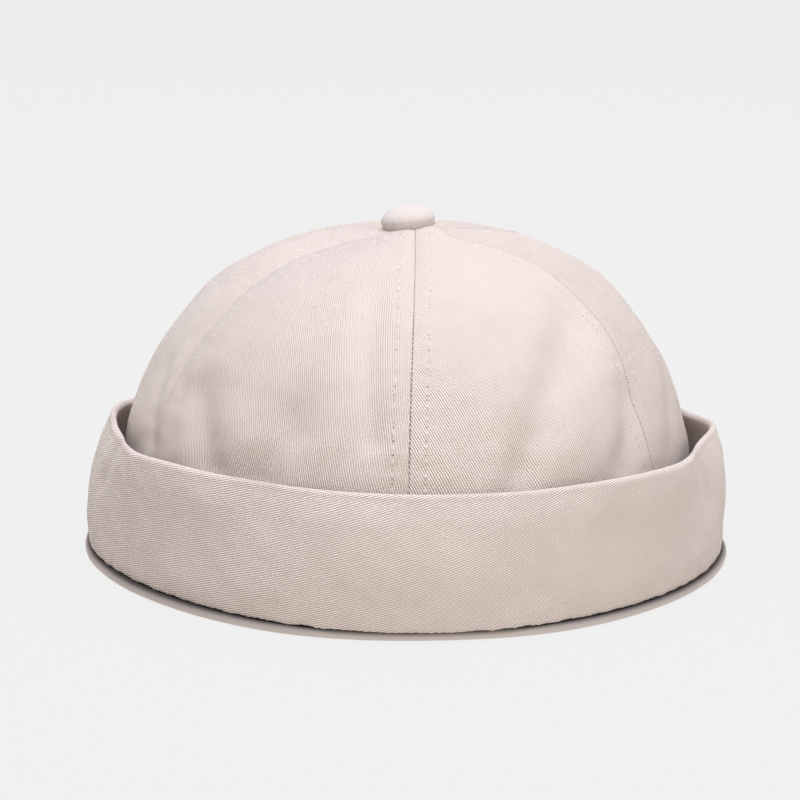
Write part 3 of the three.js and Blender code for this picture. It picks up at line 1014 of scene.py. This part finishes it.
# Creases have heights as shares of the cuff's, and widths in millimetres
CREASES = (
    Fold(-66, 1.0, -72, 0.62, 3.0, 0.7),
    Fold(-72, 0.62, -70, 0.2, 5.0, 0.5),
    Fold(-58, 0.95, -60, 0.6, 4.0, -0.4),
    Fold(-80, 0.9, -84, 0.4, 4.0, 0.5),
    Fold(64, 0.95, 70, 0.55, 4.5, 0.5),
    Fold(56, 0.9, 58, 0.5, 5.0, -0.35),
)


@dataclass
class Ring:
    """A closed band round the cap, shaped from one section that is given at each angle."""

    form: CapForm
    name: str
    columns: int

    def build(
        self, rows: int, section: Callable[[Array, Array], Array]
    ) -> tuple[Piece, Array, Array, Array]:
        """Wraps a grid round the cap, with its join at the back.

        Args:
            rows: how many steps the section has.
            section: gives points from angles and steps of the section.

        Returns:
            The piece, and for each vertex millimetres round the hem and along the section, and its step.
        """
        piece = grid(self.name, self.columns, rows)
        across, up, _ = grid_shares(piece, self.columns, rows)
        angle = (2.0 * across - 1.0) * math.pi
        step = np.round(up * rows).astype(int)
        shape(piece, section(angle, step))
        run = run_along(section(np.zeros(rows + 1), np.arange(rows + 1)))
        return piece, self.form.around_hem(angle), run[step], step

    def finish(self, piece: Piece) -> None:
        """Merges the ring's meeting rows, points its faces outwards and shades it smooth."""
        only(piece)
        bpy.ops.object.mode_set(mode="EDIT")
        bpy.ops.mesh.select_all(action="SELECT")
        bpy.ops.mesh.remove_doubles(threshold=1e-6)
        bpy.ops.mesh.normals_make_consistent(inside=False)
        bpy.ops.object.mode_set(mode="OBJECT")
        smooth(piece, 70.0)


@dataclass
class Cuff:
    """The deep turned-up band of doubled cloth, soft where it folds over at its top."""

    form: CapForm
    cloth: Twill
    belly: float = 0.7
    belly_power: float = 0.6
    lean_power: float = 2.4
    columns: int = 560
    outer_rows: int = 44
    fold_rows: int = 10
    inner_rows: int = 20
    edge_rows: int = 8
    back_seam: float = 0.7
    back_seam_width: float = 0.9
    wale_left: float = 15.0
    wale_right: float = 22.0
    shoulder: float = 0.9
    shoulder_from: float = 0.8
    shoulder_to: float = 1.1
    calm_foot: float = 0.25
    fray_reach: float = 0.04
    foot_round: float = 0.25
    foot_fray: Ripples = Ripples(53, 0.16, 7.0, 1.8, 14)
    waves: Ripples = Ripples(31, 0.3, 70.0, 26.0, 12)
    crumple: Ripples = Ripples(37, 0.06, 17.0, 7.0, 16)

    def __post_init__(self) -> None:
        """Lists the section's steps: up the outer face, over the fold, down inside, round the edge."""
        outer = np.linspace(0.0, 1.0, self.outer_rows + 1)
        fold = np.linspace(0.0, math.pi, self.fold_rows + 1)[1:]
        inner = np.linspace(1.0, 0.0, self.inner_rows + 1)[1:]
        edge = np.linspace(math.pi, 0.0, self.edge_rows + 1)[1:]
        self.share = np.concatenate([outer, np.ones(len(fold)), inner, np.zeros(len(edge))])
        self.turn = np.concatenate([np.zeros(len(outer)), fold, np.full(len(inner), math.pi), edge])
        self.is_edge = np.arange(len(self.share)) > len(self.share) - len(edge) - 1

    def column(self, name: str, angle: Array) -> Array:
        """A column of the cuff's table, read round the cap."""
        azimuths = [station.azimuth for station in CUFF_ROUND]
        return around(azimuths, [getattr(station, name) for station in CUFF_ROUND], angle)

    def section(self, angle: Array, step: Array) -> Array:
        """Points of the cuff at angles and steps of its section."""
        form = self.form
        share, turn = self.share[step], self.turn[step]
        top = form.cuff_height * self.column("height", angle)
        radius = form.cuff_cloth / 2.0
        foot = form.hem_proud * self.column("foot", angle)
        room = form.crown_inset(angle, top) - foot - form.cuff_cloth - form.layer_gap
        lean = room * self.column("hug", angle)
        belly = self.belly * np.sin(math.pi * share**self.belly_power)
        outside = (1.0 + np.cos(turn)) / 2.0
        low = form.foot + self.foot_round
        height = low + (top - radius - low) * share
        height += np.where(self.is_edge[step], -self.foot_round, radius) * np.sin(turn)
        round_hem = form.around_hem(angle)
        fray = self.foot_fray(round_hem, np.zeros_like(round_hem))
        height += fray * (1.0 - smoothstep(share, 0.0, self.fray_reach)) * outside
        rising = smoothstep(share, 0.0, self.calm_foot)
        reach = (form.half_width + form.half_length) / 2.0
        proud = self.waves(round_hem, height) * rising + self.crumple(round_hem, height)
        for crease in CREASES:
            proud -= crease.press(angle, share * form.cuff_height, reach, form.cuff_height, 1.0) * rising
        back = (math.pi - np.abs(angle)) * form.half_width
        proud -= self.back_seam * bump_at(back, self.back_seam_width)
        proud -= self.shoulder * smoothstep(share, self.shoulder_from, self.shoulder_to)
        inset = foot + lean * share**self.lean_power - belly + radius * (1.0 - np.cos(turn))
        return form.ring(angle, inset - proud * outside, height)

    def wale_lean(self, share: Array) -> Array:
        """The wales' lean in radians at a share of the way round from the back."""
        turned_right = smoothstep(share, 0.25, 0.75)
        return np.radians(self.wale_left + (self.wale_right - self.wale_left) * turned_right)

    def build(self) -> None:
        """Makes the cuff with its wales rising to the right."""
        ring = Ring(self.form, "twill_cuff", self.columns)
        piece, along, beside, _ = ring.build(len(self.share) - 1, self.section)
        whole = self.form.around_hem(math.pi)
        lean = self.wale_lean(along / whole)
        samples = np.linspace(0.0, whole, OUTLINE_SAMPLES)
        rises = np.sin(self.wale_lean(samples[1:] / whole)) * np.diff(samples)
        climb = np.interp(along, samples, np.concatenate([[0.0], np.cumsum(rises)]))
        along_wales = along * np.cos(lean) + beside * np.sin(lean)
        write_map(piece, WEAVE_MAP, along_wales, beside * np.cos(lean) - climb)
        ring.finish(piece)
        place(piece, Slot.CUFF, self.cloth.build(), "cuff")


# The sweatband


@dataclass
class Sweatband:
    """The band inside the crown, whose lower edge rolls out as the hem strip under the cuff."""

    form: CapForm
    cloth: Twill
    ease: float = 0.8
    band_cloth: float = 1.2
    columns: int = 480
    underside_rows: int = 6
    roll_rows: int = 18
    shelf_rows: int = 5
    band_rows: int = 16
    wale_lean: float = 40.0
    # Towards the sides, the hem strip's painted shade is eased by this much, from front_share to side_share
    # of the way from the front
    painted_shade_eased_at_ends: float = 0.5
    lip: float = 0.3
    front_share: float = 0.25
    side_share: float = 0.5
    waves: Ripples = Ripples(41, 0.1, 60.0, 20.0, 10)

    def __post_init__(self) -> None:
        """Lists the section's steps: under the hem, round its roll, up the band and down inside."""
        roll, tall = self.form.hem_roll, self.form.sweatband_height
        radius = roll / 2.0
        half_turn = math.pi * radius
        out = np.linspace(1.0, 0.0, self.underside_rows + 1)[:-1]
        turns = np.linspace(0.0, math.pi, self.roll_rows + 1)
        rounded = radius * (1.0 - np.sin(turns)), radius * (1.0 - np.cos(turns)), (math.pi - turns) * radius
        shelf = np.linspace(0.0, 1.0, self.shelf_rows + 1)[1:]
        band = np.linspace(0.0, 1.0, self.band_rows + 1)[1:]
        top = tall + np.array([self.band_cloth * self.lip, 0.0])
        stages = [
            (radius, out, out, np.zeros_like(out), half_turn),
            (rounded[0], 0.0, 0.0, rounded[1], rounded[2]),
            (radius, shelf, 0.0, np.full_like(shelf, roll), 0.0),
            (radius, 1.0, 0.0, roll + (tall - roll) * band, 0.0),
            (radius, 1.0, np.array([0.5, 1.0]), top, half_turn),
            (radius, 1.0, 1.0, tall * (1.0 - band), half_turn),
        ]
        columns = zip(*[np.broadcast_arrays(*stage) for stage in stages])
        self.edge, self.inwards, self.deep, self.height, self.away = map(np.concatenate, columns)

    def section(self, angle: Array, step: Array) -> Array:
        """Points of the sweatband at angles and steps of its section."""
        form = self.form
        height = self.height[step]
        round_hem = form.around_hem(angle)
        edge = self.edge[step] + form.hem_tuck_at(angle) + np.abs(self.waves(round_hem, height))
        outside = form.crown_inset(angle, np.maximum(height, form.foot)) + form.crown_cloth + self.ease
        inset = edge + (outside - edge) * self.inwards[step] + self.band_cloth * self.deep[step]
        return form.ring(angle, inset, height)

    def build(self) -> None:
        """Makes the sweatband, with shade painted on its hem strip: darkest at the crease under the cuff,
        less towards the sides.
        """
        ring = Ring(self.form, "twill_sweatband", self.columns)
        piece, along, beside, step = ring.build(len(self.height) - 1, self.section)
        write_map(piece, WEAVE_MAP, *turned(along, beside, self.wale_lean))
        # The seam map holds the distance from the crease, for the painted shade on the hem strip, eased
        # towards the sides
        from_front = np.abs(2.0 * along / self.form.around_hem(math.pi) - 1.0)
        painted_shade_easing = self.painted_shade_eased_at_ends * smoothstep(from_front, self.front_share, self.side_share)
        write_map(piece, SEAM_MAP, self.away[step] + painted_shade_easing, along)
        ring.finish(piece)
        place(piece, Slot.SWEATBAND, self.cloth.build(), "sweatband")


# The button


@dataclass
class Button:
    """The cloth-covered button, its cloth gathered under the rim, on a short shank."""

    form: CapForm
    cloth: Twill
    radius: float = 8.0
    rise: float = 5.3
    rim: float = 1.1
    flatness: float = 1.12
    skirt: float = 1.2
    shift: float = -2.0
    shank_radius: float = 1.2
    shank_length: float = 2.4
    dome_power: float = 0.9
    rim_turned: float = 0.35
    shank_from: float = 0.8
    shank_closes: float = 0.75
    skirt_from: float = 0.1
    skirt_to: float = 0.6
    under_map: float = 3.0
    gathers: int = 17
    gather_depth: float = 0.22
    gather_lift: float = 0.05
    gather_polar: float = 96.0
    gather_spread: float = 22.0
    segments: int = 96
    rings: int = 48

    def build(self) -> None:
        """Turns a sphere into the domed button and gathers its lower edge."""
        deselect()
        bpy.ops.mesh.primitive_uv_sphere_add(segments=self.segments, ring_count=self.rings, radius=1.0)
        piece = fresh("twill_top_button")
        ball = points_of(piece)
        azimuth = np.arctan2(ball[:, 1], ball[:, 0])
        polar = np.arccos(np.clip(ball[:, 2], -1.0, 1.0))
        quarter = math.pi / 2.0
        upper = polar <= quarter
        dome = self.rim + (self.rise - self.rim) * np.cos(polar).clip(0.0) ** self.flatness
        under = np.clip(polar / quarter - 1.0, 0.0, 1.0)
        turn = np.clip(under / self.rim_turned, 0.0, 1.0) * quarter
        flat = np.clip((under - self.rim_turned) / (self.shank_from - self.rim_turned), 0.0, 1.0)
        stem = np.clip((under - self.shank_from) / (1.0 - self.shank_from), 0.0, 1.0)
        reach = self.radius - self.rim * (1.0 - np.cos(turn))
        reach += (self.shank_radius - (self.radius - self.rim)) * flat
        reach *= 1.0 - smoothstep(stem, self.shank_closes, 1.0)
        drop = self.shank_length * np.clip(stem / self.shank_closes, 0.0, 1.0)
        drop += self.skirt * np.sin(turn) * (1.0 - smoothstep(flat, self.skirt_from, self.skirt_to))
        radius = np.where(upper, self.radius * np.sin(polar) ** self.dome_power, reach)
        height = np.where(upper, dome, self.rim * (1.0 - np.sin(turn)) - drop)
        unevenly = 0.8 * np.sin(3.0 * azimuth) + 0.5 * np.sin(5.0 * azimuth + 1.0)
        gather = np.cos(self.gathers * azimuth + unevenly)
        near_rim = bump_at(polar - math.radians(self.gather_polar), math.radians(self.gather_spread))
        radius -= self.gather_depth * (0.5 + 0.5 * gather) * near_rim
        height -= self.gather_lift * gather * near_rim
        east, north = np.cos(azimuth), np.sin(azimuth)
        flat_reach = np.where(upper, polar / quarter * self.radius, self.radius + self.under_map * under)
        write_map(piece, WEAVE_MAP, flat_reach * east, flat_reach * north)
        form = self.form
        tilt = math.radians(form.top_tilt)
        top = form.crown_height + form.top_gather + form.layer_gap + self.shift * math.tan(tilt)
        upright = np.column_stack([radius * east, radius * north, height])
        tilted = upright @ np.array(Matrix.Rotation(-tilt, 3, "Y")).T
        shape(piece, tilted + np.array([form.top_shift + self.shift, 0.0, top]))
        smooth(piece)
        place(piece, Slot.BUTTON, self.cloth.build(), "top_button")


# The studio

@dataclass(frozen=True)
class Lamp:
    """A soft round light: its place and size in metres, its power in watts and its tint."""

    name: str
    place: Triple
    size: float
    power: float
    tint: Triple


@dataclass
class Studio:
    """A pale floor, soft light from above and a camera at the photograph's angle."""

    distance: float = 1.0
    elevation: float = 14.93
    focal_pixels: float = 3321.0
    image_width: float = 800.0
    sensor: float = 36.0
    turn: float = -0.0023
    nod: float = 0.0433
    roll: float = 0.76
    backdrop: float = 0.8632
    floor_tint: Triple = (0.957, 0.953, 0.948)
    floor_bounce: float = 0.03
    ambient: float = 0.77
    floor_reach: float = 6.0
    aim: float = 0.05
    lamps: tuple[Lamp, ...] = (
        Lamp("key", (0.02, -0.15, 1.3), 0.9, 18.0, (0.93, 1.0, 1.2)),
        Lamp("fill", (0.7, -1.4, 0.35), 0.9, 6.4, (1.0, 1.0, 1.0)),
    )
    def camera(self) -> None:
        """Sets the camera where the photograph's outline puts it."""
        tip = math.radians(self.elevation)
        data = bpy.data.cameras.new("camera")
        data.sensor_width = self.sensor
        data.lens = self.focal_pixels / self.image_width * self.sensor
        eye = bpy.data.objects.new("camera", data)
        stand = Matrix.Translation(Vector((0.0, -math.cos(tip), math.sin(tip))) * self.distance)
        lean = math.radians(self.roll)
        turns = (("X", math.pi / 2.0 - tip), ("Y", -self.turn), ("X", self.nod), ("Z", lean))
        for axis, angle in turns:
            stand = stand @ Matrix.Rotation(angle, 4, axis)
        eye.matrix_world = stand
        bpy.context.scene.collection.objects.link(eye)
        bpy.context.scene.camera = eye

    def floor(self) -> None:
        """Lays a floor that is as pale as the backdrop and takes a faint shadow."""
        deselect()
        bpy.ops.mesh.primitive_plane_add(size=self.floor_reach)
        floor = fresh("studio_floor")
        nodes = Nodes("studio_floor")
        pale = (*(self.backdrop * part for part in self.floor_tint), 1.0)
        dim = (self.floor_bounce, self.floor_bounce, self.floor_bounce, 1.0)
        nodes.feed(nodes.shader, {"Base Color": dim, "Roughness": 1.0, "Specular IOR Level": 0.0})
        nodes.feed(nodes.shader, {"Emission Color": pale, "Emission Strength": 1.0})
        floor.data.materials.append(nodes.material)

    def light(self, lamp: Lamp) -> None:
        """Adds a lamp that faces the cap."""
        data = bpy.data.lights.new(lamp.name, "AREA")
        data.shape = "DISK"
        data.size = lamp.size
        data.energy = lamp.power
        data.color = lamp.tint
        stand = bpy.data.objects.new(lamp.name, data)
        stand.location = lamp.place
        aim = Vector((0.0, 0.0, self.aim)) - Vector(lamp.place)
        stand.rotation_euler = aim.to_track_quat("-Z", "Y").to_euler()
        bpy.context.scene.collection.objects.link(stand)

    def sky(self) -> None:
        """Shows a backdrop as pale as the photograph's and lights the cap from all round."""
        world = bpy.data.worlds.new("studio")
        bpy.context.scene.world = world
        world.use_nodes = True
        tree = world.node_tree
        tree.nodes.clear()
        out = tree.nodes.new("ShaderNodeOutputWorld")
        mix = tree.nodes.new("ShaderNodeMixShader")
        rays = tree.nodes.new("ShaderNodeLightPath")
        tree.links.new(rays.outputs["Is Camera Ray"], mix.inputs[0])
        for number, strength in enumerate((self.ambient, self.backdrop), 1):
            glow = tree.nodes.new("ShaderNodeBackground")
            glow.inputs["Color"].default_value = (1.0, 1.0, 1.0, 1.0)
            glow.inputs["Strength"].default_value = strength
            tree.links.new(glow.outputs[0], mix.inputs[number])
        tree.links.new(mix.outputs[0], out.inputs[0])

    def build(self) -> None:
        """Sets camera, floor, sky and lights."""
        self.camera()
        self.floor()
        self.sky()
        for lamp in self.lamps:
            self.light(lamp)
        bpy.context.scene.view_settings.view_transform = "Standard"


def main() -> None:
    """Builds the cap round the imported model, then its studio."""
    logging.basicConfig(level=logging.INFO, format="%(name)s: %(message)s")
    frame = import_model()
    form = CapForm.from_frame(list(frame["nodes"]))
    rows = NeedleRows(Crown.stitch_offset, Crown.stitch_pitch)
    crown = Twill("crown_twill_cloth", (0.629, 0.519, 0.447), needle_rows=rows)
    # The cuff's twill is the crown's cloth made lighter: painted light for the cuff's upright faces, which
    # the lamps light too little
    cuff = Twill("cuff_twill_cloth", (0.678, 0.561, 0.493))
    smooth_twill = {"relief": 0.03, "sheen": 0.0, "painted_crease_shade_reach": 2.9}
    # The sweatband's colour is the cuff's twill darkened: painted shade for the hem strip under the cuff
    band = Twill("sweatband_twill_cloth", (0.549, 0.467, 0.424), contrast=0.06, **smooth_twill)
    button = Twill("button_twill_cloth", (0.504, 0.435, 0.390), contrast=0.08, relief=0.03)
    Crown(form, crown, Thread("thread", (0.66, 0.555, 0.485))).build()
    Cuff(form, cuff).build()
    Sweatband(form, band).build()
    Button(form, button).build()
    Studio().build()


if __name__ == "__main__":
    main()
